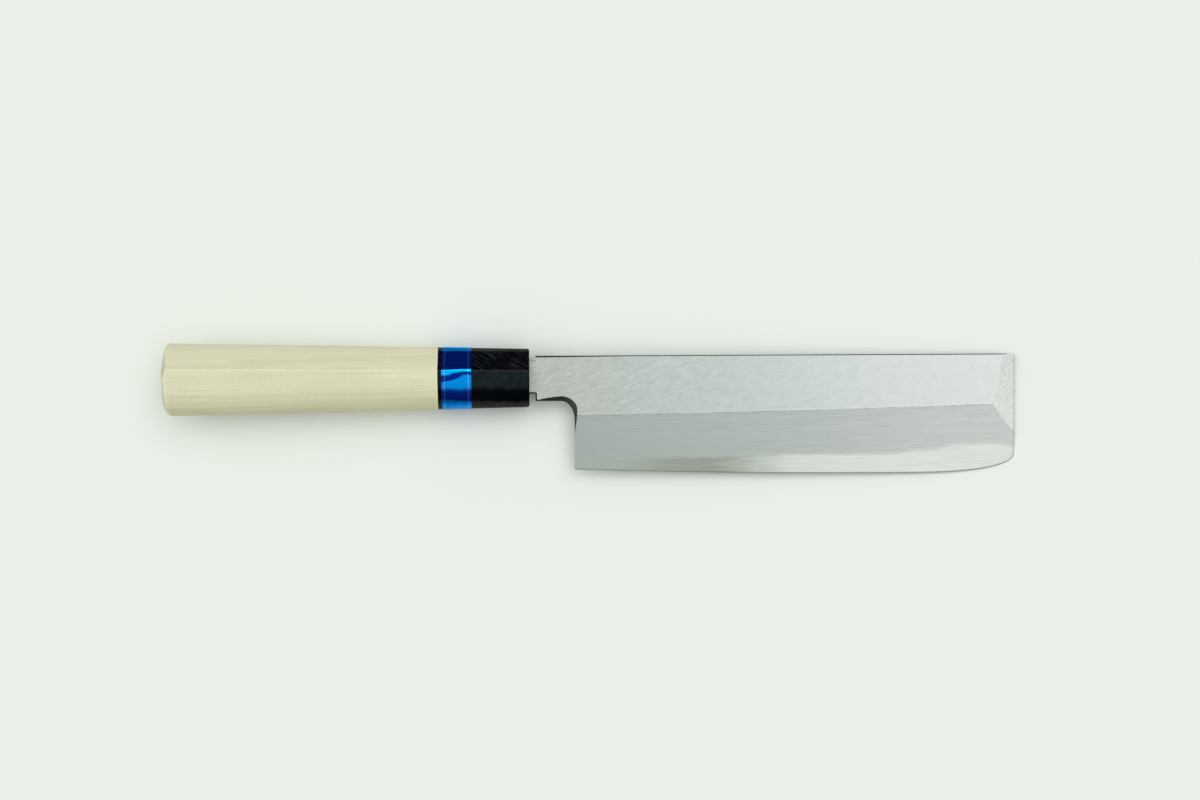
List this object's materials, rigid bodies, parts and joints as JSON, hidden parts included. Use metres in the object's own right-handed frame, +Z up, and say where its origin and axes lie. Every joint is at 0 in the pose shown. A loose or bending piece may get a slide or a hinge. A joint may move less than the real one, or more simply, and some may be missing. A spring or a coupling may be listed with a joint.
{
  "type": "usuba knife",
  "caption": "Single-bevel Japanese vegetable knife with a square tip, a laminated blade hollow-ground at the back, and a D-shaped wooden handle with a black horn ferrule.",
  "frame": {"origin": "middle of the knife's footprint, at the level of the table that it lies on", "axes": "+X along the knife from the butt to the tip, level with the table; +Y from the cutting edge to the spine; +Z up, out of the bevelled front face. The knife itself dips 2.1 degrees towards the tip, because it rests on the ferrule's lower rim and the back of the tip."},
  "size_m": [0.3158, 0.0496, 0.0233],
  "materials": {
    "soft_steel": "satin ground",
    "hard_steel": "fine ground",
    "magnolia_wood": "bare, fine straight grain",
    "horn": "polished with fine scratches",
    "foil": "metallic blue foil",
    "resin": "dull dark resin"
  },
  "bodies": {
    "root": {"blade_cladding": "soft_steel", "edge_steel": "hard_steel", "handle_grip": "magnolia_wood", "ferrule": "horn", "ferrule_band": "foil", "tang_seal": "resin"}
  },
  "joints": []
}
